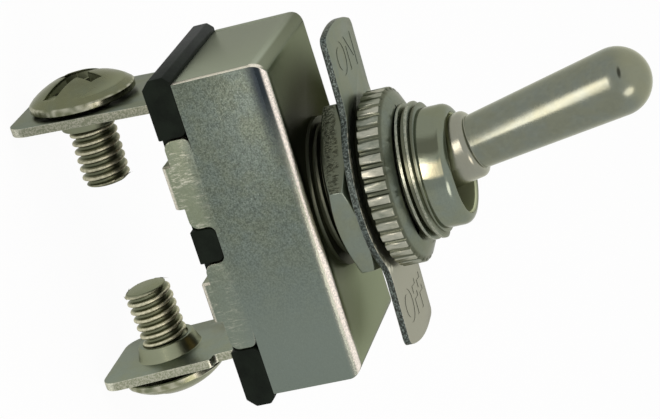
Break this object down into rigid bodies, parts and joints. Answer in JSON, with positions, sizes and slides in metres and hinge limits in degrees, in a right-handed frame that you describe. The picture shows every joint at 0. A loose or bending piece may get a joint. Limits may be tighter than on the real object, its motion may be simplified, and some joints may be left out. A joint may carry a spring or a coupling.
{
  "type": "panel toggle switch",
  "caption": "Metal toggle switch with a bat lever, threaded bushing with nuts and legend plate, folded case and screw terminals.",
  "frame": {"origin": "on the bushing's axis, at the outer face of the case that carries the bushing", "axes": "+Z along the bushing towards the lever, X along the case with the lever at rest leaning to -X, -Y the front"},
  "size_m": [0.0304, 0.0162, 0.0538],
  "materials": {
    "case_nickel": "nickel-plated sheet, fine sparkle",
    "black_moulding": "black phenolic moulding",
    "bushing_nickel": "nickel-plated, turned",
    "hex_nut_nickel": "nickel-plated",
    "plate_nickel": "nickel-plated, brushed along its length",
    "knurled_nickel": "nickel-plated, knurled rim",
    "lever_chrome": "nickel-plated, polished",
    "terminal_nickel": "nickel-plated strip",
    "screw_nickel": "nickel-plated screw",
    "eyelet_brass": "plain brass",
    "inner_steel": "plain steel",
    "plunger_steel": "ground steel",
    "contact_copper": "copper strip",
    "contact_silver": "silver button"
  },
  "bodies": {
    "housing": {"case": "case_nickel", "base": "black_moulding", "bushing": "bushing_nickel", "hex_nut": "hex_nut_nickel", "legend_plate": "plate_nickel", "knurled_nut": "knurled_nickel", "terminal_left": "terminal_nickel", "terminal_right": "terminal_nickel", "terminal_screw_left": "screw_nickel", "terminal_screw_right": "screw_nickel", "eyelet_left": "eyelet_brass", "eyelet_right": "eyelet_brass", "pivot_pin": "inner_steel", "fixed_contact": "contact_silver", "pivot_bracket": "contact_copper", "rest_stud": "eyelet_brass", "bracket_rivet": "eyelet_brass"},
    "lever": {"lever": "lever_chrome", "spring": "inner_steel"},
    "plunger": {"plunger": "plunger_steel"},
    "rocker": {"rocker": "contact_copper", "moving_contact": "contact_silver"}
  },
  "joints": [
    {"name": "lever_tilt", "type": "hinge", "parent": "housing", "child": "lever", "pos_m": [0, 0, 0.00552], "axis": [0, 1, 0], "range_deg": [0, 21.4]},
    {"name": "plunger_slide", "type": "slide", "parent": "lever", "child": "plunger", "axis": [-0.1857, 0, 0.9826], "range_m": [0, 0.0005], "stiffness_N_per_m": 1000, "springref_m": -0.0015, "deforming": ["spring"]},
    {"name": "rocker_tip", "type": "hinge", "parent": "housing", "child": "rocker", "pos_m": [0, 0, -0.00553], "axis": [0, 1, 0], "range_deg": [-16, 0]}
  ],
  "couplings": [
    {"joint": "rocker_tip", "follows": "lever_tilt", "ratio": -0.7476}
  ]
}
